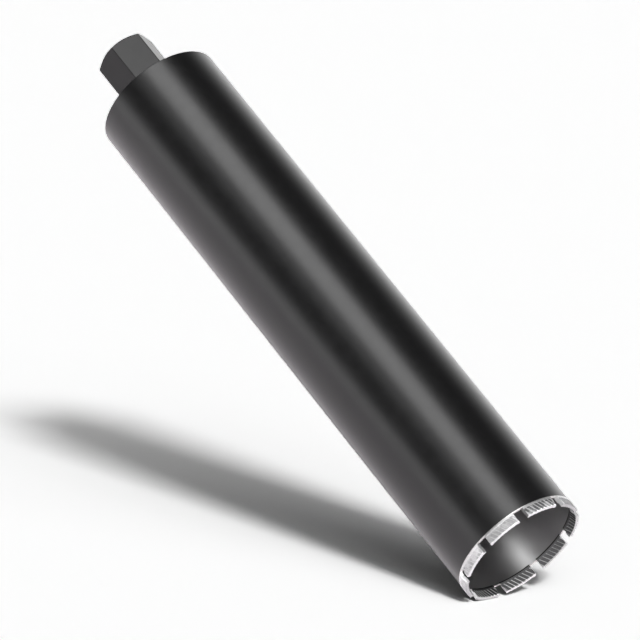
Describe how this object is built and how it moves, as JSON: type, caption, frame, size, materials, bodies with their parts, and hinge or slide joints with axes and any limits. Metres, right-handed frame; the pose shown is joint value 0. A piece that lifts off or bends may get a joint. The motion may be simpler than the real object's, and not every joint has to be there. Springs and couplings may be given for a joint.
{
  "type": "diamond core bit",
  "caption": "Wet drilling core bit: long steel tube with a ring of ribbed diamond segments on its open rim and a hexagonal threaded hub on its closed end.",
  "frame": {"origin": "on the drilling axis, in the plane of the segments' cutting faces, on which the bit stands", "axes": "+Z along the drilling axis, from the crown up to the threaded hub; +X through the middle of segment_1"},
  "size_m": [0.0918, 0.092, 0.4865],
  "materials": {
    "tube_paint": "semi-gloss black enamel outside, bare drawn steel inside and on the rim",
    "plate_paint": "semi-gloss black enamel over turned steel",
    "weld_paint": "semi-gloss black enamel over a rippled weld bead",
    "hub_paint": "semi-gloss black enamel outside, bare cut steel in the thread",
    "segment_metal": "pressed and sintered metal powder with diamond grit, matt"
  },
  "bodies": {
    "root": {"barrel": "tube_paint", "back_plate": "plate_paint", "plate_weld": "weld_paint", "hub": "hub_paint", "hub_weld": "weld_paint", "segment_1": "segment_metal", "segment_2": "segment_metal", "segment_3": "segment_metal", "segment_4": "segment_metal", "segment_5": "segment_metal", "segment_6": "segment_metal", "segment_7": "segment_metal", "segment_8": "segment_metal", "segment_9": "segment_metal"}
  },
  "joints": []
}
